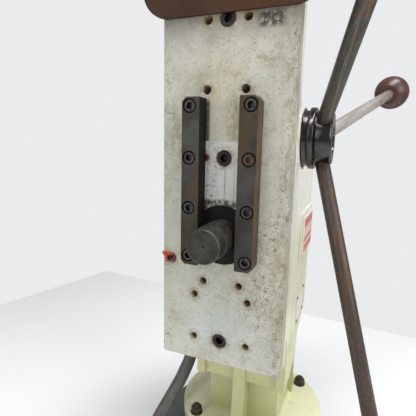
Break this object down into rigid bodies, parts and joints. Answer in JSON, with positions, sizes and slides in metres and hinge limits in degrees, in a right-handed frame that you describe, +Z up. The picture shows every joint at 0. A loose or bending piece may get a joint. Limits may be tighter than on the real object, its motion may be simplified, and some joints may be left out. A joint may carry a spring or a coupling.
{
  "type": "arbor press",
  "caption": "Bench press with a horizontal rack-driven ram, a three-arm capstan, guide rails on a front plate and a column on a round base.",
  "frame": {"origin": "on the base's underside, in the bench plane, below the centre of the column flange", "axes": "+Z up; the front plate and the ram face -Y; the capstan is on +X"},
  "size_m": [0.4099, 0.6687, 0.891],
  "materials": {
    "base_paint": "satin dark grey paint",
    "cream_paint": "semi-gloss cream green machine paint",
    "plate_steel": "worn pale grey, pitted, with oil and rust marks",
    "rail_steel": "dark oiled steel",
    "black_screws": "black oxide",
    "stud_steel": "dark steel with light rust",
    "rusty_screw": "rusty",
    "dark_bush": "dark oiled steel",
    "bronze": "machined bronze",
    "ram_steel": "dark turned steel",
    "machined_steel": "machined",
    "black_oxide": "polished black oxide",
    "worn_bar": "dark steel with worn brown patches",
    "bright_bar": "polished by use",
    "knob_plastic": "glossy dark brown",
    "brown_paint": "semi-gloss brown",
    "red_label": "faded red",
    "pale_label": "pale printed plate, blank",
    "rivet_metal": "dull",
    "orange_paint": "chipped orange",
    "conduit_grey": "grey sleeve",
    "fitting_metal": "dull"
  },
  "bodies": {
    "frame": {"base_casting": "base_paint", "base_cover_plate": "base_paint", "base_cover_screws": "black_screws", "main_casting": "cream_paint", "flange_studs": "stud_steel", "flange_nuts": "stud_steel", "front_plate": "plate_steel", "plate_screws": "black_screws", "plug_screw": "rusty_screw", "rail_left": "rail_steel", "rail_right": "rail_steel", "rail_screws": "black_screws", "ram_front_bush": "dark_bush", "ram_rear_bush": "bronze", "ram_key_screw": "black_screws", "intermediate_bushes": "bronze", "intermediate_end_cap": "cream_paint", "end_cap_screws": "black_screws", "capstan_bushes": "bronze", "bearing_carrier": "cream_paint", "carrier_screws": "black_screws", "bearing_flange": "black_oxide", "rear_cover": "cream_paint", "rear_cover_screws": "black_screws", "ram_guard": "base_paint", "top_cover": "brown_paint", "top_cover_back": "brown_paint", "top_cover_screws": "black_screws", "top_cover_bolts": "black_screws", "emblem_plate": "red_label", "data_plate": "pale_label", "plate_rivets": "rivet_metal", "pointer_ring": "orange_paint", "pointer_screw": "black_screws", "conduit": "conduit_grey", "conduit_gland": "fitting_metal", "conduit_elbow": "fitting_metal"},
    "capstan": {"capstan_shaft": "machined_steel", "index_collar": "black_oxide", "hub": "black_oxide", "hub_key": "machined_steel", "hub_set_screw": "black_screws", "hub_end_washer": "stud_steel", "hub_end_screw": "black_screws", "handle_bar_upper": "worn_bar", "handle_bar_lower": "worn_bar", "handle_bar_rear": "bright_bar", "ball_knob_upper": "knob_plastic", "ball_knob_lower": "knob_plastic", "ball_knob_rear": "knob_plastic"},
    "intermediate": {"intermediate_shaft": "machined_steel", "rack_pinion": "machined_steel", "driven_gear": "machined_steel", "gear_keys": "machined_steel"},
    "ram": {"ram": "ram_steel"}
  },
  "joints": [
    {"name": "capstan_turn", "type": "hinge", "parent": "frame", "child": "capstan", "pos_m": [0.1047, -0.131, 0.608], "axis": [1, 0, 0], "range_deg": [-190, 400]},
    {"name": "intermediate_turn", "type": "hinge", "parent": "frame", "child": "intermediate", "pos_m": [0, -0.08276, 0.525], "axis": [1, 0, 0], "range_deg": [-158, 76]},
    {"name": "ram_slide", "type": "slide", "parent": "frame", "child": "ram", "axis": [0, -1, 0], "range_m": [-0.0352, 0.074]}
  ],
  "couplings": [
    {"joint": "intermediate_turn", "follows": "capstan_turn", "ratio": -0.3913},
    {"joint": "ram_slide", "follows": "capstan_turn", "m_per_rad": 0.010565}
  ]
}
